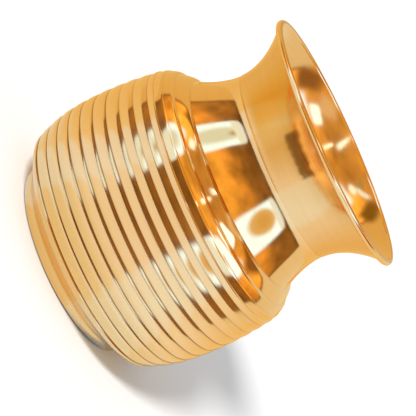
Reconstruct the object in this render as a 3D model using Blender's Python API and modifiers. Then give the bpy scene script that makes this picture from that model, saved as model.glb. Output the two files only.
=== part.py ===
import bpy
from math import cos, hypot, pi, radians, sin

# A small brass kalash, a round water pot that stands on its foot: turned and brazed from thin pieces.
# +Z is up the pot's axis, and the origin is the centre of the face that the foot stands on.
# Lengths are in metres.

MM = 0.001

# Heights, stacked from the face under the foot to the top of the rim
FOOT_HEIGHT = 4.0 * MM
HEEL_RISE = 7.4 * MM
BODY_RISE = 41.1 * MM
LAND_RISE = 2.7 * MM
NECK_RISE = 15.4 * MM
MOUTH_RISE = 20.2 * MM
WIDEST_RISE = 23.6 * MM  # from the lowest groove of the belly up to its widest rib

# Outer radii
FOOT_RADIUS = 34.0 * MM
FOOT_ROUNDING = 3.2 * MM
HEEL_RADIUS = 42.8 * MM
BELLY_RADIUS = 47.3 * MM
SHOULDER_RADIUS = 45.2 * MM
NECK_RADIUS = 32.2 * MM
RIM_RADIUS = 44.75 * MM
RIM_BEAD_RADIUS = 0.75 * MM

# How far each rib of the shoulder steps in and up, from the belly's seam to the foot of the neck
SHOULDER_RIBS = ((1.0 * MM, 2.8 * MM), (3.0 * MM, 2.9 * MM), (3.7 * MM, 3.5 * MM))

# Ribs turned round the belly, with a groove above and below each
BELLY_GROOVES = 10
RIB_CREST = 0.4 * MM
HEEL_BULGE = 0.7 * MM

# How quickly each round stretch turns in towards its end
LOWER_BELLY_POWER = 2.5
UPPER_BELLY_POWER = 2.0
NECK_POWER = 1.8
MOUTH_POWER = 1.8
RIB_POWER = 3.0

# Walls, and how far one piece laps inside the next
WALL = 1.2 * MM
MOUTH_WALL = 1.0 * MM
LAP = 4.5 * MM
FIT_GAP = 0.3 * MM

# The base disc, which lies on a ledge turned inside the foot ring
BASE_THICKNESS = 1.2 * MM
LEDGE_WIDTH = 4.0 * MM
LEDGE_HEIGHT = 2.3 * MM
FOOT_LAND = 2.1 * MM  # flat top of the foot ring, which the belly's seat stands on
SEAT_THICKNESS = 1.0 * MM
TREAD_CHAMFER = 0.4 * MM

# Fillets of brazing alloy, run round the corners inside the pot and under its base
SEAM_LEG = 1.4 * MM

# How finely the round stretches are cut
TURN_STEPS = 48
RIB_POINTS = 2
CURVE_POINTS = 6
ROUNDING_POINTS = 3
BEAD_POINTS = 8
WALL_POINTS = 7

# Heights that follow from the sizes above
HEEL_Z = FOOT_HEIGHT + HEEL_RISE
WIDEST_Z = HEEL_Z + WIDEST_RISE
LAND_Z = HEEL_Z + BODY_RISE
BELLY_TOP_Z = LAND_Z + LAND_RISE
COLLAR_Z = BELLY_TOP_Z + sum(rise for _, rise in SHOULDER_RIBS)
NECK_Z = COLLAR_Z + NECK_RISE
TOP_Z = NECK_Z + MOUTH_RISE

COLLAR_RADIUS = SHOULDER_RADIUS - sum(step for step, _ in SHOULDER_RIBS)
LEDGE_RADIUS = FOOT_RADIUS - FOOT_LAND
FOOT_BORE = LEDGE_RADIUS - LEDGE_WIDTH

BRASSES = {
    "foot_brass": (0.78, 0.52, 0.20),
    "base_brass": (0.74, 0.50, 0.21),
    "belly_brass": (0.83, 0.57, 0.22),
    "shoulder_brass": (0.84, 0.57, 0.20),
    "neck_brass": (0.84, 0.58, 0.23),
    "rim_brass": (0.86, 0.61, 0.26),
    "braze_alloy": (0.80, 0.68, 0.42),
}


def clear_scene():
    for obj in list(bpy.data.objects):
        bpy.data.objects.remove(obj, do_unlink=True)


def make_brass(name, color):
    brass = bpy.data.materials.new(name)
    brass.use_nodes = True
    shader = brass.node_tree.nodes["Principled BSDF"]
    shader.inputs["Base Color"].default_value = (*color, 1.0)
    shader.inputs["Metallic"].default_value = 1.0
    shader.inputs["Roughness"].default_value = 0.18
    return brass


def turn(name, outline, brass, closed=True):
    """One turned piece: its outline, in (radius, height), runs down the outside and is spun round Z."""
    mesh = bpy.data.meshes.new(name)
    points = [(radius, 0.0, height) for radius, height in outline]
    edges = [(i, i + 1) for i in range(len(points) - 1)]
    if closed:
        edges.append((len(points) - 1, 0))
    mesh.from_pydata(points, edges, [])
    mesh.materials.append(brass)
    piece = bpy.data.objects.new(name, mesh)
    screw = piece.modifiers.new("Turn", "SCREW")
    screw.axis = "Z"
    screw.angle = 2 * pi
    screw.steps = TURN_STEPS
    screw.render_steps = TURN_STEPS
    screw.use_merge_vertices = True
    screw.merge_threshold = 0.00001
    screw.use_smooth_shade = True
    return piece


def lerp(start, end, share):
    return start + (end - start) * share


def rib_between(upper, lower):
    """One rounded rib, from the groove above it down to the groove below, which the next rib starts with."""
    length = hypot(lower[0] - upper[0], lower[1] - upper[1])
    out = ((upper[1] - lower[1]) / length, (lower[0] - upper[0]) / length)
    points = [upper]
    for i in range(1, RIB_POINTS + 1):
        share = i / (RIB_POINTS + 1)
        rise = RIB_CREST * (1 - abs(2 * share - 1)**RIB_POWER)
        points.append((
            lerp(upper[0], lower[0], share) + rise * out[0],
            lerp(upper[1], lower[1], share) + rise * out[1],
        ))
    return points


def ribbed(grooves):
    """The outline through a run of grooves, top to bottom, with a rib between each two."""
    points = []
    for upper, lower in zip(grooves, grooves[1:]):
        points += rib_between(upper, lower)
    return points + [grooves[-1]]


def inset(outline, wall):
    """The same run of points moved in by the wall, square to the outline."""
    moved = []
    for i, (radius, height) in enumerate(outline):
        before = outline[max(i - 1, 0)]
        after = outline[min(i + 1, len(outline) - 1)]
        length = hypot(after[0] - before[0], after[1] - before[1])
        out = ((before[1] - after[1]) / length, (after[0] - before[0]) / length)
        moved.append((radius - wall * out[0], height - wall * out[1]))
    return moved


def belly_radius(height):
    """Radius of the line through the bottoms of the belly's grooves."""
    root = BELLY_RADIUS - RIB_CREST
    if height > WIDEST_Z:
        share = (height - WIDEST_Z) / (BELLY_TOP_Z - WIDEST_Z)
        return lerp(root, SHOULDER_RADIUS, share**UPPER_BELLY_POWER)
    share = (WIDEST_Z - height) / (WIDEST_Z - HEEL_Z)
    return lerp(root, HEEL_RADIUS, share**LOWER_BELLY_POWER)


def neck_radius(height):
    """Outer radius of the hollow neck, between the shoulder's ribs and its narrowest ring."""
    return lerp(NECK_RADIUS, COLLAR_RADIUS, ((NECK_Z - height) / NECK_RISE)**NECK_POWER)


def lap_radius(outer_radius, top):
    """Outer radius of a collar that hangs from the height top, inside the piece with this outer radius.

    It clears the wall at both ends of the lap, down past the fillet of alloy under the collar.
    """
    lap_end = top - LAP - SEAM_LEG
    return min(outer_radius(top), outer_radius(lap_end)) - WALL - FIT_GAP


def belly_grooves():
    pitch = BODY_RISE / (BELLY_GROOVES - 1)
    heights = [LAND_Z - pitch * i for i in range(BELLY_GROOVES)]
    return [(belly_radius(height), height) for height in heights]


def heel_curve():
    """From the lowest groove down and in to the foot, bulging out a little on the way."""
    drop = HEEL_RISE - FIT_GAP
    run = HEEL_RADIUS - FOOT_RADIUS
    length = hypot(run, drop)
    points = []
    for i in range(1, CURVE_POINTS):
        share = i / (CURVE_POINTS - 1)
        bulge = HEEL_BULGE * 4 * share * (1 - share)
        points.append((
            HEEL_RADIUS - run * share + bulge * drop / length,
            HEEL_Z - drop * share - bulge * run / length,
        ))
    return points


def neck_curve():
    """The hollow curve from the narrowest ring of the neck down to the shoulder's ribs."""
    points = []
    for i in range(CURVE_POINTS):
        height = lerp(NECK_Z, COLLAR_Z, i / CURVE_POINTS)
        points.append((neck_radius(height), height))
    return points


def mouth_curve():
    """The underside of the flared mouth, from beside the rim bead down to the neck."""
    flare = RIM_RADIUS - NECK_RADIUS - RIM_BEAD_RADIUS
    rise = MOUTH_RISE - RIM_BEAD_RADIUS
    slope = hypot(MOUTH_POWER * flare, rise)
    along = (MOUTH_POWER * flare / slope, rise / slope)
    back = RIM_BEAD_RADIUS + FIT_GAP
    end_radius = NECK_RADIUS + flare - back * along[0] + MOUTH_WALL / 2 * along[1]
    end_height = NECK_Z + rise - back * along[1] - MOUTH_WALL / 2 * along[0]
    foot = NECK_Z + FIT_GAP
    points = []
    for i in range(WALL_POINTS):
        share = 1 - i / (WALL_POINTS - 1)
        radius = lerp(NECK_RADIUS, end_radius, share**MOUTH_POWER)
        points.append((radius, lerp(foot, end_height, share)))
    return points


def shoulder_grooves():
    """The shoulder's steps, from the foot of the neck down to the seam with the belly."""
    radius = SHOULDER_RADIUS
    height = BELLY_TOP_Z + FIT_GAP
    points = [(radius, height)]
    for step, rise in SHOULDER_RIBS:
        radius -= step
        height += rise
        points.append((radius, height))
    points[-1] = (COLLAR_RADIUS, COLLAR_Z)
    return points[::-1]


def foot_ring(brass):
    centre = (FOOT_RADIUS - FOOT_ROUNDING, FOOT_ROUNDING)
    outline = [(FOOT_RADIUS, FOOT_HEIGHT)]
    for i in range(ROUNDING_POINTS + 1):
        angle = pi / 2 * i / ROUNDING_POINTS
        outline.append((centre[0] + FOOT_ROUNDING * cos(angle), centre[1] - FOOT_ROUNDING * sin(angle)))
    outline += [
        (FOOT_BORE + TREAD_CHAMFER, 0.0),
        (FOOT_BORE, TREAD_CHAMFER),
        (FOOT_BORE, LEDGE_HEIGHT),
        (LEDGE_RADIUS, LEDGE_HEIGHT),
        (LEDGE_RADIUS, FOOT_HEIGHT),
    ]
    return turn("foot_ring", outline, brass)


def base_disc(brass):
    radius = LEDGE_RADIUS - FIT_GAP
    under = LEDGE_HEIGHT + FIT_GAP
    top = under + BASE_THICKNESS
    outline = [(0.0, top), (radius, top), (radius, under), (0.0, under)]
    return turn("base_disc", outline, brass, closed=False)


def belly_shell(brass):
    land = (SHOULDER_RADIUS, BELLY_TOP_Z)
    outside = ribbed([land] + belly_grooves()) + heel_curve()
    seat = FOOT_HEIGHT + FIT_GAP
    inside = [(LEDGE_RADIUS, seat), (LEDGE_RADIUS, seat + SEAT_THICKNESS)]
    heel = inset([(HEEL_RADIUS, HEEL_Z)] + heel_curve(), WALL)
    inside += heel[-2:0:-1]
    for i in range(WALL_POINTS):
        height = lerp(HEEL_Z, BELLY_TOP_Z, (i + 0.5) / WALL_POINTS)
        inside.append((belly_radius(height) - WALL, height))
    inside.append((SHOULDER_RADIUS - WALL, BELLY_TOP_Z))
    return turn("belly_shell", outside + inside, brass)


def shoulder_shell(brass):
    grooves = shoulder_grooves()
    outside = neck_curve() + ribbed(grooves)
    lap_outer = lap_radius(belly_radius, BELLY_TOP_Z)
    lap_inner = lap_outer - WALL
    seam = BELLY_TOP_Z + FIT_GAP
    lap = [(lap_outer, seam), (lap_outer, seam - LAP), (lap_inner, seam - LAP), (lap_inner, seam + WALL)]
    inside = inset(neck_curve() + grooves, WALL)[:-1]
    inside[0] = (NECK_RADIUS - WALL, NECK_Z)
    return turn("shoulder_shell", outside + lap + inside[::-1], brass)


def neck_flare(brass):
    outside = mouth_curve()
    foot = outside[-1][1]
    lap_outer = lap_radius(neck_radius, NECK_Z)
    lap_inner = lap_outer - MOUTH_WALL
    lap = [(lap_outer, foot), (lap_outer, foot - LAP), (lap_inner, foot - LAP)]
    inside = inset(outside, MOUTH_WALL)
    inside[-1] = (lap_inner, foot + MOUTH_WALL)
    return turn("neck_flare", outside + lap + inside[::-1], brass)


def rim_ring(brass):
    centre = (RIM_RADIUS - RIM_BEAD_RADIUS, TOP_Z - RIM_BEAD_RADIUS)
    outline = []
    for i in range(BEAD_POINTS):
        angle = radians(90) - 2 * pi * i / BEAD_POINTS
        outline.append((centre[0] + RIM_BEAD_RADIUS * cos(angle), centre[1] + RIM_BEAD_RADIUS * sin(angle)))
    return turn("rim_ring", outline, brass)


def seam(name, corner, toward, brass):
    """A three-cornered fillet that stands in a corner; toward says which way each of its legs runs."""
    across = (corner[0] + toward[0] * SEAM_LEG, corner[1])
    along = (corner[0], corner[1] + toward[1] * SEAM_LEG)
    outline = [corner, across, along]
    if toward[0] * toward[1] > 0:
        outline = [corner, along, across]
    return turn(name, outline, brass)


def seams(brass):
    base_top = LEDGE_HEIGHT + FIT_GAP + BASE_THICKNESS
    corners = {
        "foot_seam": ((FOOT_BORE - FIT_GAP, LEDGE_HEIGHT), (-1, -1)),
        "base_seam": ((LEDGE_RADIUS - FIT_GAP, base_top + FIT_GAP), (-1, 1)),
        "shoulder_seam": ((lap_radius(belly_radius, BELLY_TOP_Z), BELLY_TOP_Z - LAP), (-1, -1)),
        "neck_seam": ((lap_radius(neck_radius, NECK_Z), NECK_Z - LAP), (-1, -1)),
    }
    return [seam(name, corner, toward, brass) for name, (corner, toward) in corners.items()]


def build():
    clear_scene()
    brass = {name: make_brass(name, color) for name, color in BRASSES.items()}
    pieces = [
        foot_ring(brass["foot_brass"]),
        base_disc(brass["base_brass"]),
        belly_shell(brass["belly_brass"]),
        shoulder_shell(brass["shoulder_brass"]),
        neck_flare(brass["neck_brass"]),
        rim_ring(brass["rim_brass"]),
    ]
    pieces += seams(brass["braze_alloy"])
    kalash = bpy.data.collections.new("kalash")
    bpy.context.scene.collection.children.link(kalash)
    for piece in pieces:
        kalash.objects.link(piece)


build()
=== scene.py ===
import bpy
from math import cos, hypot, pi, radians, sin
from mathutils import Matrix, Vector


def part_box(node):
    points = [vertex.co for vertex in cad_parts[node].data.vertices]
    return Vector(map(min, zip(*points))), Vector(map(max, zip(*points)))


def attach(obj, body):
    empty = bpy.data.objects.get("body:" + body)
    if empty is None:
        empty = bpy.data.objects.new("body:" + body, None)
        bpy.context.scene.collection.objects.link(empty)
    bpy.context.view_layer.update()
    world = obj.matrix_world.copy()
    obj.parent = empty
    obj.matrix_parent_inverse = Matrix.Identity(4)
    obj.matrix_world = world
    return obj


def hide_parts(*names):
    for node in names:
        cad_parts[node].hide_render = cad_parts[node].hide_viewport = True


# A small turned brass water pot, dressed over its CAD. Each piece is spun again with finer ribs and
# given its brass, then the pot stands on a pale floor in soft light. The pieces' sizes are in
# millimetres, and those of the tent, films, light and camera in metres.

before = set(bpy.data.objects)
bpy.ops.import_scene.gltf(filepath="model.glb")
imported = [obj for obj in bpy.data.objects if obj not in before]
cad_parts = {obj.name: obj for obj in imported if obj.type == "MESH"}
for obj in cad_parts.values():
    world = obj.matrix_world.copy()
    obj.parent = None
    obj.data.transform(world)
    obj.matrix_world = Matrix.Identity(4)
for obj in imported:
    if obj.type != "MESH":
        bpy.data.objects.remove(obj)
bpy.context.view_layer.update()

mm = 0.001
spinSteps = 256          # faces round the pot in every turned piece
sheetSteps = 96          # and in the sheets that hang round it
outlineMerge = 0.002     # points of an outline closer than this become one
seamMerge = 0.005        # and so do points where a spun piece closes
smoothAngle = 35         # sharper corners stay crisp
ribPoints = 16           # points along the outline of a rib
lapEdge = 0.3            # how much the end of a collar is broken


# Heights and radii come from the CAD nodes
def topOf(node):
    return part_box(node)[1].z / mm


def radiusOf(node):
    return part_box(node)[1].x / mm


def mix(start, end, share):
    return start + (end - start) * share


def clearSelection():
    bpy.ops.object.select_all(action="DESELECT")
    bpy.context.view_layer.objects.active = None


# A chain of points is drawn from one vertex by extruding it along the outline
def drawChain(name, points, closed):
    clearSelection()
    bpy.ops.mesh.primitive_plane_add(size=mm, location=points[0])
    piece = bpy.context.object
    piece.name = name
    piece.data.name = name
    bpy.ops.object.transform_apply(location=True, rotation=True, scale=True)
    bpy.ops.object.mode_set(mode="EDIT")
    bpy.ops.mesh.select_all(action="SELECT")
    bpy.ops.mesh.merge(type="CENTER")
    ends = points[1:] + points[:1] if closed else points[1:]
    for before, after in zip(points, ends):
        move = [b - a for a, b in zip(before, after)]
        bpy.ops.mesh.extrude_region_move(TRANSFORM_OT_translate={"value": move})
    bpy.ops.mesh.select_all(action="SELECT")
    return piece


# The drawn chain is spun once round the pot's axis, and its ends are merged
def spinChain(steps, mergeWithin):
    bpy.ops.mesh.spin(steps=steps, angle=2 * pi, center=(0, 0, 0), axis=(0, 0, 1))
    bpy.ops.mesh.select_all(action="SELECT")
    bpy.ops.mesh.remove_doubles(threshold=mergeWithin)


# One turned piece from its outline of (radius, height)
def turnPiece(name, outline, closed=True):
    piece = drawChain(name, [(radius * mm, 0, height * mm) for radius, height in outline], closed)
    bpy.ops.mesh.remove_doubles(threshold=outlineMerge * mm)
    spinChain(spinSteps, seamMerge * mm)
    bpy.ops.mesh.normals_make_consistent(inside=False)
    bpy.ops.mesh.select_all(action="DESELECT")
    bpy.ops.object.mode_set(mode="OBJECT")
    bpy.ops.object.shade_smooth_by_angle(angle=radians(smoothAngle))
    print("turned", name, len(piece.data.polygons), "faces")
    return piece


# Hand work leaves a wall very slightly uneven
unevenness = {
    "depth": 0.05,
    "size": 11,
}


def handWork(piece):
    cloud = bpy.data.textures.new(piece.name + "Cloud", "CLOUDS")
    cloud.noise_scale = unevenness["size"] * mm
    cloud.noise_depth = 1
    uneven = piece.modifiers.new("handWork", "DISPLACE")
    uneven.texture = cloud
    uneven.texture_coords = "LOCAL"
    uneven.direction = "NORMAL"
    uneven.mid_level = 0.5
    uneven.strength = unevenness["depth"] * mm
    clearSelection()
    piece.select_set(True)
    bpy.context.view_layer.objects.active = piece
    bpy.ops.object.modifier_apply(modifier=uneven.name)


def finishPiece(piece, node, material):
    piece.data.materials.clear()
    piece.data.materials.append(material)
    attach(piece, "root")
    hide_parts(node)
    return piece


# A rounded rib from the groove above it to the groove below; off is how far a point is from the crest
def ribOutline(upper, lower, crest, power, peak):
    run, drop = lower[0] - upper[0], lower[1] - upper[1]
    length = hypot(run, drop)
    out = (-drop / length, run / length)
    points = []
    for i in range(ribPoints):
        share = 0.5 - 0.5 * cos(pi * i / ribPoints)   # closer together near the grooves
        off = (peak - share) / peak if share < peak else (share - peak) / (1 - peak)
        rise = crest * (1 - off**power)
        points.append((upper[0] + run * share + rise * out[0], upper[1] + drop * share + rise * out[1]))
    return points


def ribbedOutline(grooves, ribs):
    points = []
    for upper, lower, (crest, power, peak) in zip(grooves, grooves[1:], ribs):
        points += ribOutline(upper, lower, crest, power, peak)
    return points + [grooves[-1]]


# An outline that runs downwards, moved in by a wall
def insetOutline(points, wall):
    moved = []
    for i, (radius, height) in enumerate(points):
        before, after = points[max(i - 1, 0)], points[min(i + 1, len(points) - 1)]
        length = hypot(after[0] - before[0], after[1] - before[1])
        moved.append((
            radius - wall * (before[1] - after[1]) / length,
            height - wall * (after[0] - before[0]) / length,
        ))
    return moved


# The collar that laps down inside the piece below: down its outer side, round its end and back up
def lapOutline(outer, wall, seat, lap):
    inner, end = outer - wall, seat - lap
    return [
        (outer, seat),
        (outer, end + lapEdge),
        (outer - lapEdge, end),
        (inner + lapEdge, end),
        (inner, end + lapEdge),
    ]


footTop = topOf("foot_ring")
footRadius = radiusOf("foot_ring")
bellyTop = topOf("belly_shell")
bellyRadius = radiusOf("belly_shell")
neckHeight = topOf("shoulder_shell")
rimTop = topOf("rim_ring")
shoulderRadius = 45.2   # at the seam between belly and shoulder
neckRadius = 32.7       # at the narrowest ring
potMiddle = (0, 0, rimTop * mm / 2)

foot = {
    "rounding": 3.2,
    "roundPoints": 12,
    "land": 2.1,               # flat top that the belly's seat stands on
    "ledgeWidth": 4.0,
    "ledgeHeight": 2.3,
    "treadChamfer": 0.4,
    "treadRound": 0.12,
    "rough": (0.12, 0.2),
    "paintedShade": (0.7, 0.15),    # painted shade: a contact shadow under the tread, and a little at the top where the belly sits
    "paintedShadeHeight": 0.1,
    "paintedShadeWidth": 0.7,
}
ledgeRadius = footRadius - foot["land"]
footBore = ledgeRadius - foot["ledgeWidth"]


# The ring that the pot stands on, with a ledge inside for the base
def makeFoot():
    rounding, chamfer, ledge = foot["rounding"], foot["treadChamfer"], foot["ledgeHeight"]
    outline = [(footRadius, footTop)]
    for i in range(foot["roundPoints"] + 1):
        angle = pi / 2 * i / foot["roundPoints"]
        outline.append((footRadius - rounding + rounding * cos(angle), rounding - rounding * sin(angle)))
    outline += [
        (footBore + chamfer, 0),
        (footBore + foot["treadRound"], foot["treadRound"]),
        (footBore, chamfer),
        (footBore, ledge),
        (ledgeRadius, ledge),
        (ledgeRadius, footTop),
    ]
    return turnPiece("potFoot", outline)


base = {
    "thickness": 1.2,
    "gap": 0.05,
    "chamfer": 0.25,
    "rings": 12,
    "beadLift": 0.5,           # the bead over the base starts this much above it
    "rough": (0.2, 0.32),
}
baseTop = foot["ledgeHeight"] + base["thickness"]


# The disc that lies on the foot's ledge
def makeBase():
    low, rings = foot["ledgeHeight"], base["rings"]
    radius = ledgeRadius - base["gap"]
    outline = [(0, baseTop)]
    outline += [(radius * i / rings, baseTop) for i in range(1, rings)]
    outline += [(radius - base["chamfer"], baseTop), (radius, baseTop - base["chamfer"]), (radius, low)]
    outline += [(radius * i / rings, low) for i in range(rings - 1, 0, -1)]
    outline += [(0, low)]
    return turnPiece("potBase", outline, closed=False)


belly = {
    "grooves": 10,
    "grooveTop": 52.9,         # height of the highest of them
    "grooveBottom": 11.05,     # and of the lowest
    "grooveSag": 0.45,         # the middle ones sit this much low of even spacing
    "ribs": (                  # rise over the grooves, flatness and place of the crest, from the top
        (0.32, 1.3, 0.16), (0.28, 1.3, 0.46), (0.31, 1.4, 0.46), (0.29, 2.0, 0.5), (0.33, 2.3, 0.5),
        (0.36, 2.4, 0.5), (0.41, 2.6, 0.5), (0.46, 2.8, 0.5), (0.52, 3.0, 0.5), (0.56, 3.2, 0.5),
    ),
    "widestRib": 4,
    "widestHeight": 35.0,
    "upperPower": 2.0,         # how quickly the wall turns in above its widest rib
    "lowerPower": 2.5,         # and below it
    "heelRadius": 42.8,
    "heelPull": (1.8, -1.7),   # how far the heel's curve is led on from the lowest groove
    "footPull": (2.6, 2.6),    # and from the foot
    "heelPoints": 24,
    "wall": 1.2,
    "innerPoints": 27,
    "innerStart": 0.5,         # the inner wall starts this much above the lowest groove
    "seatThickness": 1.0,
    "seatClear": 0.2,
    "rough": (0.09, 0.15),
    "paintedShade": (0.3, 0.72),    # painted shade in the upper and lower grooves, heavier in the lower ones
    "paintedShadeSplit": 40,        # height between the two
}


def bellyLine(height):
    root = bellyRadius - belly["ribs"][belly["widestRib"]][0]
    widest = belly["widestHeight"]
    if height > widest:
        share = (height - widest) / (bellyTop - widest)
        return mix(root, shoulderRadius, share**belly["upperPower"])
    share = (widest - height) / (widest - belly["grooveBottom"])
    return mix(root, belly["heelRadius"], share**belly["lowerPower"])


def bellyGrooves():
    steps = belly["grooves"] - 1
    pitch = (belly["grooveTop"] - belly["grooveBottom"]) / steps
    grooves = []
    for i in range(steps + 1):
        height = belly["grooveTop"] - pitch * i - belly["grooveSag"] * sin(pi * i / steps)
        grooves.append((bellyLine(height), height))
    return grooves


# How much painted shade a belly groove gets, more in the lower ones
def bellyPaintedShade(height):
    upper, lower = belly["paintedShade"]
    return upper if height > belly["paintedShadeSplit"] else lower


# From the lowest groove down and in to the foot, which it meets in a small hollow
def heelOutline():
    start, end = (belly["heelRadius"], belly["grooveBottom"]), (footRadius, footTop)
    corners = (
        start,
        tuple(a + b for a, b in zip(start, belly["heelPull"])),
        tuple(a + b for a, b in zip(end, belly["footPull"])),
        end,
    )
    points = []
    for i in range(1, belly["heelPoints"] + 1):
        t = i / belly["heelPoints"]
        weights = ((1 - t)**3, 3 * t * (1 - t)**2, 3 * t * t * (1 - t), t**3)
        points.append(tuple(sum(w * corner[k] for w, corner in zip(weights, corners)) for k in (0, 1)))
    return points


def makeBelly():
    heel = heelOutline()
    outside = ribbedOutline([(shoulderRadius, bellyTop)] + bellyGrooves(), belly["ribs"]) + heel
    seatTop = footTop + belly["seatThickness"]
    inside = [(ledgeRadius, footTop), (ledgeRadius, seatTop)]
    heelInside = insetOutline(heel, belly["wall"])[::-1]
    inside += [point for point in heelInside if point[1] > seatTop + belly["seatClear"]]
    for i in range(belly["innerPoints"] + 1):
        height = mix(belly["grooveBottom"] + belly["innerStart"], bellyTop, i / belly["innerPoints"])
        inside.append((bellyLine(height) - belly["wall"], height))
    return turnPiece("potBelly", outside + inside)


shoulder = {
    "steps": ((0.8, 2.8), (2.6, 2.9), (4.3, 3.5)),   # each rib's step in and up, from the belly
    "ribs": ((0.72, 1.4, 0.26), (0.50, 1.4, 0.28), (0.20, 1.3, 0.20)),   # as the belly's, from the top
    "neckPower": 1.8,
    "neckPoints": 28,
    "wall": 1.2,
    "lap": 4.5,
    "lapGap": 0.3,
    "lapRise": 1.0,            # the collar's inner side runs on this far above the seam
    "rough": (0.06, 0.11),
    # painted shade in the shoulder's grooves
    "paintedShade": 0.08,
}
collarRadius = shoulderRadius - sum(inward for inward, up in shoulder["steps"])
collarHeight = bellyTop + sum(up for inward, up in shoulder["steps"])
shoulderLap = shoulderRadius - belly["wall"] - shoulder["lapGap"]   # outside of its collar in the belly


def neckLine(height):
    share = (neckHeight - height) / (neckHeight - collarHeight)
    return mix(neckRadius, collarRadius, share**shoulder["neckPower"])


def shoulderGrooves():
    radius, height = shoulderRadius, bellyTop
    grooves = [(radius, height)]
    for inward, up in shoulder["steps"]:
        radius -= inward
        height += up
        grooves.append((radius, height))
    return grooves[::-1]


# The hollow neck over three ribs, with a collar that laps inside the belly
def makeShoulder():
    neck = [mix(neckHeight, collarHeight, i / shoulder["neckPoints"]) for i in range(shoulder["neckPoints"])]
    neck = [(neckLine(height), height) for height in neck]
    grooves = shoulderGrooves()
    outside = neck + ribbedOutline(grooves, shoulder["ribs"])
    lap = lapOutline(shoulderLap, shoulder["wall"], bellyTop, shoulder["lap"])
    lap.append((shoulderLap - shoulder["wall"], bellyTop + shoulder["lapRise"]))
    inside = insetOutline(neck + grooves, shoulder["wall"])[:-1]
    inside[0] = (neckRadius - shoulder["wall"], neckHeight)
    return turnPiece("potShoulder", outside + lap + inside[::-1])


rim = {
    "thickness": 2.2,
    "drawnIn": 0.9,            # the finished lip stands this much inside the CAD ring
    "points": 24,
    "rough": (0.10, 0.18),
    # painted shade along the top of the lip
    "paintedShade": 0.5,
}
rimRadius = radiusOf("rim_ring") - rim["drawnIn"]


def makeRim():
    half = rim["thickness"] / 2
    outline = []
    for i in range(rim["points"]):
        angle = pi / 2 - 2 * pi * i / rim["points"]
        outline.append((rimRadius - half + half * cos(angle), rimTop - half + half * sin(angle)))
    return turnPiece("potLip", outline)


mouth = {
    "flarePower": 2.0,
    "points": 48,
    "tuck": 0.1,               # how far its edge goes into the lip
    "skin": 0.15,              # its outer side stands this much proud of the flare's line
    "wall": 1.0,
    "lap": 4.5,
    "lapGap": 0.1,
    "throat": (1.2, 0.5),      # the inner wall leaves the flare and meets the collar, over and under the neck
    "rough": (0.08, 0.14),
}
neckLap = neckRadius - shoulder["wall"] - mouth["lapGap"]   # outside of its collar in the neck


def mouthLine(share):
    flare = rimRadius - rim["thickness"] / 2 - neckRadius
    return neckRadius + (flare + mouth["tuck"]) * share**mouth["flarePower"]


# The trumpet mouth, with a collar that laps inside the neck
def makeMouth():
    top = rimTop - rim["thickness"] / 2
    shares = [1 - i / mouth["points"] for i in range(mouth["points"] + 1)]
    flare = [(mouthLine(share), mix(neckHeight, top, share)) for share in shares]
    outside = insetOutline(flare, -mouth["skin"])
    outside[-1] = (neckRadius, neckHeight)
    lap = lapOutline(neckLap, mouth["wall"], neckHeight, mouth["lap"])
    leave, meet = mouth["throat"]
    inside = [point for point in insetOutline(flare, mouth["wall"]) if point[1] > neckHeight + leave]
    inside.append((neckLap - mouth["wall"], neckHeight - meet))
    return turnPiece("potMouth", outside + lap + inside[::-1])


alloy = {
    "leg": 1.4,
    "points": 8,
    "hollow": 0.25,            # as a share of the leg
    "hollowAlong": 0.7,        # what each leg takes of it
    "rough": (0.25, 0.4),
    "colours": {"warm": (0.80, 0.68, 0.42), "pale": (0.84, 0.72, 0.46), "deep": (0.7, 0.58, 0.34)},
}


# A run of alloy in a corner, slightly hollow, with its feet spread on both walls
def makeBead(name, corner, spread):
    leg = alloy["leg"]
    outline = [corner]
    for i in range(alloy["points"] + 1):
        share = i / alloy["points"]
        sag = alloy["hollow"] * leg * sin(pi * share) * alloy["hollowAlong"]
        across, along = leg * (1 - share) - sag, leg * share - sag
        outline.append((corner[0] + spread[0] * max(across, 0), corner[1] + spread[1] * max(along, 0)))
    return turnPiece(name, outline)


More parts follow.
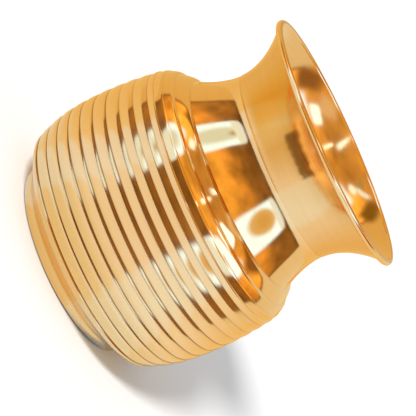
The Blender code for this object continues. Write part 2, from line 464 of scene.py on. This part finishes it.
# A material's nodes, with short ways to add and join them
class Nodes:
    def __init__(self, name):
        self.material = bpy.data.materials.new(name)
        self.material.use_nodes = True
        self.tree = self.material.node_tree
        self.shader = self.tree.nodes["Principled BSDF"]

    def put(self, value, socket):
        if isinstance(value, bpy.types.NodeSocket):
            self.tree.links.new(value, socket)
        else:
            socket.default_value = value

    def add(self, kind, inputs=None, **settings):
        node = self.tree.nodes.new(kind)
        for key, value in settings.items():
            setattr(node, key, value)
        for socket, value in (inputs or {}).items():
            self.put(value, node.inputs[socket])
        return node

    def objectPlace(self):
        return self.add("ShaderNodeTexCoord").outputs["Object"]

    def math(self, operation, *values):
        return self.add("ShaderNodeMath", dict(enumerate(values)), operation=operation).outputs[0]

    def times(self, a, b):
        return self.math("MULTIPLY", a, b)

    def plus(self, a, b):
        return self.math("ADD", a, b)

    def noise(self, vector, scale, detail=2.0, roughness=0.5):
        inputs = {"Vector": vector, "Scale": scale, "Detail": detail, "Roughness": roughness}
        return self.add("ShaderNodeTexNoise", inputs).outputs["Fac"]

    def vector(self, operation, *values):
        return self.add("ShaderNodeVectorMath", dict(enumerate(values)), operation=operation)

    def scaled(self, vector, by):
        return self.vector("MULTIPLY", vector, by).outputs[0]

    def lengthOf(self, vector):
        return self.vector("LENGTH", vector).outputs["Value"]

    # From low to high becomes from toLow to toHigh, and stays there beyond them
    def span(self, value, low, high, toLow=0.0, toHigh=1.0):
        inputs = {"Value": value, "From Min": low, "From Max": high, "To Min": toLow, "To Max": toHigh}
        return self.add("ShaderNodeMapRange", inputs).outputs["Result"]

    # One between low and high and nought outside, with soft edges
    def between(self, value, low, high, soft):
        over = self.span(value, low - soft, low + soft)
        return self.times(over, self.span(value, high + soft, high - soft))

    def blend(self, share, first, second):
        node = self.add("ShaderNodeMix", data_type="RGBA")
        self.put(share, node.inputs[0])
        for index, colour in ((6, first), (7, second)):
            self.put((*colour, 1) if isinstance(colour, tuple) else colour, node.inputs[index])
        return node.outputs[2]

    def ramp(self, value, low, high, stops):
        ramp = self.add("ShaderNodeValToRGB", {0: self.span(value, low, high)})
        marks = ramp.color_ramp.elements
        marks[0].color = (*stops[0][1], 1)
        marks[1].color = (*stops[-1][1], 1)
        for at, colour in stops[1:-1]:
            marks.new((at - low) / (high - low)).color = (*colour, 1)
        return ramp.outputs[0]

    def link(self, output, socket):
        self.tree.links.new(output, self.shader.inputs[socket])

    # A see-through or glowing surface in place of the brass, which lights nothing by itself
    def showOnly(self, output):
        self.tree.links.new(output, self.tree.nodes["Material Output"].inputs["Surface"])
        self.material.cycles.emission_sampling = "NONE"
        return self.material

    def glow(self, colour):
        return self.add("ShaderNodeEmission", {"Color": colour, "Strength": 1.0}).outputs[0]

    def withGlow(self, clear, share, light):
        glow = self.glow(self.blend(share, (0.0, 0.0, 0.0), light))
        return self.add("ShaderNodeAddShader", {0: clear, 1: glow}).outputs[0]


# Turned and polished brass, which each piece changes a little
brass = {
    "warm": (0.91, 0.64, 0.32),
    "pale": (0.93, 0.68, 0.37),
    "deep": (0.88, 0.56, 0.24),
    "dark": (0.24, 0.10, 0.02),    # painted shade in the grooves, under the foot's tread and along the lip's top
    "toneScale": 22.0,
    "toneSpan": (0.35, 0.65),      # what the noise runs between, from warm to pale
    "smudgeScale": 55.0,
    "smudgeSpan": (0.35, 0.7),
    "lineScale": 2500,             # circular tool lines
    "lineDepth": 0.002,
    "streakScale": (90, 90, 1750),
    "streakDepth": 0.002,
    "streakSpan": (0.45, 0.75),
    "streakShare": 0.25,
    "streakRoughSpan": (0.5, 0.8),
    "streakRough": 0.06,
    "speckleScale": 1500.0,
    "speckleDepth": 0.0005,
    "grooveWidth": 0.36,
    "grooveCore": 0.1,             # the part of it that is tarnished all through
    "grooveRough": 0.15,
    "dullScale": 300.0,            # a piece without grooves is tarnished all over, very thinly
    "dullShare": 0.1,
}


# How much painted shade each groove gets, and nought between them; a piece without grooves gets a thin random
# tarnish instead
def grooveMask(nodes, z, marks, look):
    mask = None
    for height, depth in marks:
        away = nodes.math("ABSOLUTE", nodes.math("SUBTRACT", z, height * mm))
        near = nodes.span(away, look["grooveWidth"] * mm, look["grooveCore"] * mm, 0.0, depth)
        mask = near if mask is None else nodes.math("MAXIMUM", mask, near)
    if mask is None:
        mask = nodes.times(nodes.noise(z, look["dullScale"]), look["dullShare"])
    return mask


# marks are the heights of the grooves, each with the depth of its painted shade
def brassFinish(name, rough, marks=(), **changes):
    look = dict(brass, **changes)
    nodes = Nodes(name)
    place = nodes.objectPlace()
    x, y, z = nodes.add("ShaderNodeSeparateXYZ", {0: place}).outputs
    radius = nodes.math("SQRT", nodes.plus(nodes.times(x, x), nodes.times(y, y)))
    ring = nodes.add("ShaderNodeCombineXYZ", {0: radius, 2: z}).outputs[0]
    toolLines = nodes.noise(nodes.scaled(ring, (look["lineScale"],) * 3), 1.0, 2.0, 0.6)
    streaks = nodes.noise(nodes.scaled(place, look["streakScale"]), 1.0, 3.0, 0.65)
    smudge = nodes.noise(place, look["smudgeScale"], 4.0, 0.6)
    tone = nodes.noise(place, look["toneScale"], 3.0, 0.55)
    speckle = nodes.noise(place, look["speckleScale"], 2.0, 0.6)
    groove = grooveMask(nodes, z, marks, look)
    colour = nodes.blend(nodes.span(tone, *look["toneSpan"]), look["warm"], look["pale"])
    streaked = nodes.span(streaks, *look["streakSpan"], 0.0, look["streakShare"])
    colour = nodes.blend(streaked, colour, look["deep"])
    nodes.link(nodes.blend(groove, colour, look["dark"]), "Base Color")
    dull = nodes.span(smudge, *look["smudgeSpan"], *rough)
    dull = nodes.plus(dull, nodes.span(streaks, *look["streakRoughSpan"], 0.0, look["streakRough"]))
    nodes.link(nodes.plus(dull, nodes.times(groove, look["grooveRough"])), "Roughness")
    heights = nodes.times(toolLines, look["lineDepth"])
    heights = nodes.plus(heights, nodes.times(streaks, look["streakDepth"]))
    heights = nodes.plus(heights, nodes.times(speckle, look["speckleDepth"]))
    bump = nodes.add("ShaderNodeBump", {"Height": heights, "Strength": 1.0, "Distance": 0.001})
    nodes.link(bump.outputs[0], "Normal")
    nodes.shader.inputs["Metallic"].default_value = 1.0
    return nodes.material


# Painted shade goes in each groove, under the foot's tread, at the foot's top and along the lip's top
bellyMarks = [(height, bellyPaintedShade(height)) for radius, height in bellyGrooves()]
shoulderMarks = [(height, shoulder["paintedShade"]) for radius, height in shoulderGrooves()]
rimMarks = [(rimTop, rim["paintedShade"])]
footMarks = list(zip((foot["paintedShadeHeight"], footTop), foot["paintedShade"]))
bellyBrass = brassFinish("bellyBrass", belly["rough"], bellyMarks)
shoulderBrass = brassFinish("shoulderBrass", shoulder["rough"], shoulderMarks)
neckBrass = brassFinish("neckBrass", mouth["rough"])
rimBrass = brassFinish("rimBrass", rim["rough"], rimMarks)
footBrass = brassFinish("footBrass", foot["rough"], footMarks, grooveWidth=foot["paintedShadeWidth"])
baseBrass = brassFinish("baseBrass", base["rough"])
pieces = [   # each with the CAD node that it replaces and its slot
    (makeBelly(), "belly_shell", "belly_brass", bellyBrass),
    (makeShoulder(), "shoulder_shell", "shoulder_brass", shoulderBrass),
    (makeMouth(), "neck_flare", "neck_brass", neckBrass),
    (makeRim(), "rim_ring", "rim_brass", rimBrass),
    (makeFoot(), "foot_ring", "foot_brass", footBrass),
    (makeBase(), "base_disc", "base_brass", baseBrass),
]
handWorked = pieces[:3]
alloyFinish = brassFinish("brazeAlloy", alloy["rough"], **alloy["colours"])
beads = (   # where each corner is, and which ways the alloy spreads from it
    ("footBead", (footBore, foot["ledgeHeight"]), (-1, -1), "foot_seam"),
    ("baseBead", (ledgeRadius, baseTop + base["beadLift"]), (-1, 1), "base_seam"),
    ("shoulderBead", (shoulderLap, bellyTop - shoulder["lap"]), (-1, -1), "shoulder_seam"),
    ("neckBead", (neckLap, neckHeight - mouth["lap"]), (-1, -1), "neck_seam"),
)
for name, corner, spread, node in beads:
    pieces.append((makeBead(name, corner, spread), node, "braze_alloy", alloyFinish))
for piece, node, slotName, material in handWorked:
    handWork(piece)
for piece, node, slotName, material in pieces:
    finishPiece(piece, node, material)
print("pieces finished", len(pieces))


# Azimuth 0 is towards the camera's side and grows to the right, in degrees; elevation is above the floor
def toward(azimuth, elevation, distance, centre=potMiddle):
    a, e = radians(azimuth), radians(elevation)
    return (
        centre[0] + distance * cos(e) * sin(a),
        centre[1] - distance * cos(e) * cos(a),
        centre[2] + distance * sin(e),
    )


# The same two angles of a place as seen from the middle of the floor
def bearings(nodes, place):
    x, y, z = nodes.add("ShaderNodeSeparateXYZ", {0: place}).outputs
    azimuth = nodes.times(nodes.math("ARCTAN2", x, nodes.times(y, -1.0)), 180 / pi)
    elevation = nodes.times(nodes.math("ARCSINE", z), 180 / pi)
    return azimuth, elevation


# What only the brass sees: no shadow, no light on the floor, and not in the picture
def reflectionOnly(card):
    card.visible_camera = False
    card.visible_diffuse = False
    card.visible_shadow = False
    card.visible_transmission = False
    card.visible_volume_scatter = False
    return card


# The light tent round the pot: a front wall, two back walls, and patches laid over them in order
tent = {
    "radius": 3.0,
    "skirt": -1.5,                   # elevation that it starts at, a little below the floor
    "points": 24,
    "merge": 0.0001,
    "rise": (                        # the front wall's colour from the floor up, by elevation
        (0, (0.10, 0.045, 0.012)),
        (4, (0.20, 0.09, 0.020)),
        (18, (0.28, 0.13, 0.030)),
        (28, (0.60, 0.27, 0.045)),
        (38, (0.88, 0.43, 0.07)),
        (52, (0.84, 0.42, 0.07)),
        (62, (0.50, 0.24, 0.05)),
        (76, (0.50, 0.26, 0.06)),
        (90, (0.74, 0.38, 0.08)),
    ),
    "mottle": (0.62, 1.4),           # how unevenly the front wall is lit
    "sides": ((-70, -92, 1.85), (70, 95, 1.4)),   # from and to which azimuth it brightens, and by how much
    "sideStart": 1.1,
    "corner": (101, 119, 24),        # azimuth of its side edges at the floor and at this elevation up
    "fold": (0.22, 0.10, 0.025),     # dark line down each of those edges
    "foldShare": 0.8,
    "backTop": 52,
    "leftBack": (0.84, 0.54, 0.18),
    "rightBack": (0.88, 0.73, 0.47),
    "upperBack": (0.86, 0.46, 0.10),
    "patches": (                     # azimuths, elevations, softness, squareness, lean, colour
        ((91, 120), (40, 62), 0.3, 4, 0, (0.30, 0.13, 0.03)),
        ((-126, -106), (40, 57), 0.3, 4, 0, (0.26, 0.13, 0.015)),
        ((50, 94), (63, 77), 0.3, 3, 0, (0.88, 0.62, 0.36)),
        ((-95, -80), (59, 67), 0.5, 3, 0, (0.52, 0.36, 0.14)),
        ((36, 69), (51, 62), 0.12, 5, 0, (1.6, 2.0, 2.6)),
        ((-108, -82), (56.5, 60), 0.3, 3, 0, (1.1, 1.35, 1.6)),
        ((-85, -69), (52, 58), 0.3, 3, 0, (1.3, 1.6, 1.9)),
        ((-3, 2), (50, 64), 0.4, 5, 0, (2.4, 2.6, 2.8)),
        ((-16, -4), (69, 89), 0.4, 5, 0, (1.8, 2.2, 2.6)),
        ((-68, -38), (3, 48), 0.09, 5, 0.0075, (1.10, 1.6, 2.5)),
        ((-61, -45), (9, 42), 0.25, 3, 0.0075, (0.82, 1.0, 1.1)),
        ((-55, -49), (6, 18), 0.5, 2, 0.0075, (0.60, 0.45, 0.25)),
        ((25, 64), (3, 48), 0.09, 5, 0.009, (1.10, 1.6, 2.5)),
        ((32, 59), (10, 36), 0.16, 2, 0.004, (0.85, 0.62, 0.30)),
        ((37, 54), (15, 30), 0.4, 2, 0.004, (0.78, 0.50, 0.17)),
        ((-67, -39), (4, 13), 0.15, 5, 0.0075, (0.95, 1.15, 1.4)),
        ((26, 63), (4, 10), 0.15, 5, 0.009, (0.95, 1.15, 1.4)),
    ),
}


# A patch between two azimuths and two elevations; the squarer it is, the sharper its corners
def patchShare(nodes, azimuth, elevation, azimuths, elevations, soft, square, lean):
    across = nodes.math("DIVIDE", azimuth, nodes.span(elevation, 0.0, 90.0, 1.0, 1 + 90 * lean))
    away = None
    for angle, (low, high) in ((across, azimuths), (elevation, elevations)):
        share = nodes.math("DIVIDE", nodes.math("SUBTRACT", angle, (low + high) / 2), (high - low) / 2)
        share = nodes.math("POWER", nodes.math("ABSOLUTE", share), float(square))
        away = share if away is None else nodes.plus(away, share)
    return nodes.span(nodes.math("POWER", away, 1.0 / square), 1 + soft, 1 - soft)


def tentFinish():
    nodes = Nodes("tentGlow")
    sky = nodes.vector("NORMALIZE", nodes.objectPlace()).outputs[0]
    azimuth, elevation = bearings(nodes, sky)
    front = nodes.ramp(elevation, 0.0, 90.0, tent["rise"])
    cloud = nodes.noise(nodes.scaled(sky, (1.5, 1.5, 3.0)), 2.0, 3.0, 0.5)
    mottle = nodes.span(cloud, 0.3, 0.7, *tent["mottle"])
    sides = [nodes.span(azimuth, start, end, tent["sideStart"], gain) for start, end, gain in tent["sides"]]
    front = nodes.scaled(front, nodes.times(mottle, nodes.math("MAXIMUM", *sides)))
    back = nodes.blend(nodes.span(azimuth, -1.0, 1.0), tent["leftBack"], tent["rightBack"])
    low, high, level = tent["corner"]
    corner = nodes.span(elevation, 0.0, level, low, high)
    beyond = nodes.math("SUBTRACT", nodes.math("ABSOLUTE", azimuth), corner)
    top = tent["backTop"]
    behind = nodes.times(nodes.span(beyond, -1.0, 1.5), nodes.span(elevation, top + 2, top - 2))
    above = nodes.times(nodes.span(beyond, -1.0, 6.0), nodes.span(elevation, top + 8, top + 16))
    fold = nodes.span(nodes.math("ABSOLUTE", beyond), 3.0, 0.5)
    fold = nodes.times(fold, nodes.span(elevation, top - 2, top - 6))
    colour = nodes.blend(behind, nodes.blend(above, front, tent["upperBack"]), back)
    colour = nodes.blend(nodes.times(fold, tent["foldShare"]), colour, tent["fold"])
    for *outline, shade in tent["patches"]:
        colour = nodes.blend(patchShare(nodes, azimuth, elevation, *outline), colour, shade)
    return nodes.showOnly(nodes.glow(colour))


def makeTent():
    elevations = [mix(tent["skirt"], 90, i / tent["points"]) for i in range(tent["points"] + 1)]
    arc = [toward(0, elevation, tent["radius"], (0, 0, 0)) for elevation in elevations]
    shell = drawChain("lightTent", arc, False)
    spinChain(sheetSteps, tent["merge"])
    bpy.ops.object.mode_set(mode="OBJECT")
    shell.data.materials.append(tentFinish())
    return reflectionOnly(shell)


# A sheet of tinted film over the floor, seen only in the brass, that warms what the floor gives back: painted
# reflection colours, with painted glints and painted shade under the pot
film = {
    "radius": 2.9,
    "lift": 0.0003,
    "tints": (                       # by azimuth
        (-180, (0.82, 0.50, 0.14)),
        (-130, (0.83, 0.56, 0.21)),
        (-85, (0.86, 0.68, 0.38)),
        (-45, (0.88, 0.82, 0.74)),
        (0, (0.87, 0.78, 0.70)),
        (50, (0.88, 0.85, 0.78)),
        (90, (0.89, 0.80, 0.68)),
        (130, (0.86, 0.62, 0.27)),
        (180, (0.82, 0.50, 0.14)),
    ),
    # painted shade in the reflected floor right round the foot
    "underfoot": (0.80, 0.74, 0.54),
    "underfootEdge": (0.10, 0.06),
    "glints": (                      # azimuths, softness and the light that each lit patch adds
        ((-79, -45), 2.5, (0.0, 0.12, 0.34)),
        ((24, 74), 2.5, (0.0, 0.10, 0.26)),
    ),
}


def makeFilm():
    clearSelection()
    bpy.ops.mesh.primitive_circle_add(
        vertices=sheetSteps, radius=film["radius"], fill_type="NGON", location=(0, 0, film["lift"]))
    sheet = bpy.context.object
    sheet.name = "floorFilm"
    bpy.ops.object.transform_apply(location=True, rotation=True, scale=True)
    nodes = Nodes("filmTint")
    place = nodes.objectPlace()
    azimuth, elevation = bearings(nodes, place)
    tint = nodes.ramp(azimuth, -180.0, 180.0, film["tints"])
    tint = nodes.blend(nodes.span(nodes.lengthOf(place), *film["underfootEdge"]), tint, film["underfoot"])
    clear = nodes.add("ShaderNodeBsdfTransparent", {"Color": tint}).outputs[0]
    for (low, high), soft, extra in film["glints"]:
        clear = nodes.withGlow(clear, nodes.between(azimuth, low, high, soft), extra)
    sheet.data.materials.append(nodes.showOnly(clear))
    return reflectionOnly(sheet)


# A second film hangs round the shoulder and tints only what the neck and mouth see below it: painted
# reflection colours, with a painted dark oblong of shade at the front
collar = {
    "height": 0.066,
    "radii": (0.0385, 0.10),
    "tints": (                       # by azimuth
        (-180, (0.94, 0.80, 0.60)),
        (-100, (0.93, 0.88, 0.78)),
        (-80, (0.90, 0.78, 0.42)),
        (-62, (0.86, 0.58, 0.16)),
        (-44, (0.92, 0.60, 0.18)),
        (-30, (0.90, 0.74, 0.42)),
        (-15, (0.84, 0.64, 0.30)),
        (0, (0.90, 0.78, 0.52)),
        (14, (0.97, 0.91, 0.80)),
        (45, (1.0, 0.97, 0.92)),
        (76, (0.97, 0.90, 0.78)),
        (180, (0.94, 0.80, 0.60)),
    ),
    "inner": (0.86, 0.64, 0.34),
    "innerEdge": (0.0430, 0.0405),
    "outer": (0.98, 0.95, 0.90),
    "outerEdge": (0.065, 0.098),
    "ragged": 0.0006,                # how far its rings wander
    "mark": (0.28, 0.17, 0.07),      # painted shade: a dark oblong at the front, in what the neck reflects
    "markAzimuths": (-22, 17),
    "markRadii": (0.0412, 0.0464),
    "markSoft": 0.0003,
    "lift": (0.50, 0.36, 0.16),      # light added inside the oblong's ring
    "liftAzimuths": (-30, 30),
    "liftSoft": 8,
}


def collarFinish():
    nodes = Nodes("collarTint")
    place = nodes.objectPlace()
    flat = nodes.scaled(place, (1.0, 1.0, 0.0))
    azimuth, elevation = bearings(nodes, flat)
    ragged = nodes.span(nodes.noise(place, 260.0, 3.0, 0.6), 0.3, 0.7, -collar["ragged"], collar["ragged"])
    away = nodes.plus(nodes.lengthOf(flat), ragged)
    tint = nodes.ramp(azimuth, -180.0, 180.0, collar["tints"])
    tint = nodes.blend(nodes.span(away, *collar["innerEdge"]), tint, collar["inner"])
    tint = nodes.blend(nodes.span(away, *collar["outerEdge"]), tint, collar["outer"])
    inMark = nodes.between(azimuth, *collar["markAzimuths"], 1)
    inMark = nodes.times(inMark, nodes.between(away, *collar["markRadii"], collar["markSoft"]))
    tint = nodes.blend(inMark, tint, collar["mark"])
    fromBelow = nodes.add("ShaderNodeNewGeometry").outputs["Backfacing"]
    tint = nodes.blend(fromBelow, tint, (1.0, 1.0, 1.0))
    clear = nodes.add("ShaderNodeBsdfTransparent", {"Color": tint}).outputs[0]
    ring = collar["markRadii"][0]
    lit = nodes.between(azimuth, *collar["liftAzimuths"], collar["liftSoft"])
    lit = nodes.times(lit, nodes.span(away, ring + 0.0002, ring - 0.0004))
    lit = nodes.times(lit, nodes.math("SUBTRACT", 1.0, fromBelow))
    return nodes.showOnly(nodes.withGlow(clear, lit, collar["lift"]))


def makeCollarFilm():
    sheet = drawChain("collarFilm", [(radius, 0, collar["height"]) for radius in collar["radii"]], False)
    spinChain(sheetSteps, seamMerge * mm)
    bpy.ops.object.mode_set(mode="OBJECT")
    if sheet.data.polygons[0].normal.z < 0:   # its front is its upper side
        bpy.ops.object.mode_set(mode="EDIT")
        bpy.ops.mesh.flip_normals()
        bpy.ops.object.mode_set(mode="OBJECT")
    sheet.data.materials.append(collarFinish())
    return reflectionOnly(sheet)


makeTent()
makeFilm()
makeCollarFilm()
print("light tent and films up")

ground = {
    "size": 14,
    "shades": ((0.90, 0.90, 0.90), (0.93, 0.93, 0.93)),
    "toneScale": 3.0,
    "rough": 0.8,
    "shine": 0.1,
}
clearSelection()
bpy.ops.mesh.primitive_plane_add(size=ground["size"], location=(0, 0, 0))
floor = bpy.context.object
floor.name = "floor"
floorNodes = Nodes("paleFloor")
floorTone = floorNodes.noise(floorNodes.objectPlace(), ground["toneScale"], 3.0)
floorNodes.link(floorNodes.blend(floorTone, *ground["shades"]), "Base Color")
floorNodes.shader.inputs["Roughness"].default_value = ground["rough"]
floorNodes.shader.inputs["Specular IOR Level"].default_value = ground["shine"]
floor.data.materials.append(floorNodes.material)

light = {
    "room": (0.96, 0.98, 1.0),
    "roomStrength": 0.61,
    "keyEnergy": 3.35,
    "keyAngle": 11,
    "keyFrom": (-20, 35, 2),   # azimuth, elevation and distance
}
world = bpy.data.worlds.new("paleRoom")
bpy.context.scene.world = world
world.use_nodes = True
background = world.node_tree.nodes["Background"]
background.inputs["Color"].default_value = (*light["room"], 1)
background.inputs["Strength"].default_value = light["roomStrength"]
sunLight = bpy.data.lights.new("softKey", "SUN")
sunLight.energy = light["keyEnergy"]
sunLight.angle = radians(light["keyAngle"])
sun = bpy.data.objects.new("softKey", sunLight)
bpy.context.scene.collection.objects.link(sun)
sun.location = toward(*light["keyFrom"])
sun.rotation_mode = "QUATERNION"
sun.rotation_quaternion = (Vector(potMiddle) - sun.location).to_track_quat("-Z", "Y")
sun.visible_glossy = False
print("floor and light set")

camera = {
    "elevation": 12.2,
    "roll": 66.0,
    "distance": 0.5448,
    "side": -0.00178,      # how far the pot stands off the middle of the picture
    "lift": 0.00208,
    "lens": 141.0,
}
tilt, roll = radians(camera["elevation"]), radians(camera["roll"])
turn = Matrix.Rotation(pi / 2 - tilt, 3, "X") @ Matrix.Rotation(roll, 3, "Z")
right, up, back = turn.col[0], turn.col[1], turn.col[2]
eye = Vector(potMiddle) - camera["side"] * right - camera["lift"] * up + camera["distance"] * back
cameraData = bpy.data.cameras.new("camera")
cameraData.lens = camera["lens"]
cameraData.sensor_width = 36
cameraData.clip_start = 0.01
cameraData.clip_end = 50
viewer = bpy.data.objects.new("camera", cameraData)
viewer.matrix_world = Matrix.Translation(eye) @ turn.to_4x4()
bpy.context.scene.collection.objects.link(viewer)
bpy.context.scene.camera = viewer
bpy.context.scene.view_settings.view_transform = "Standard"
print("camera set")
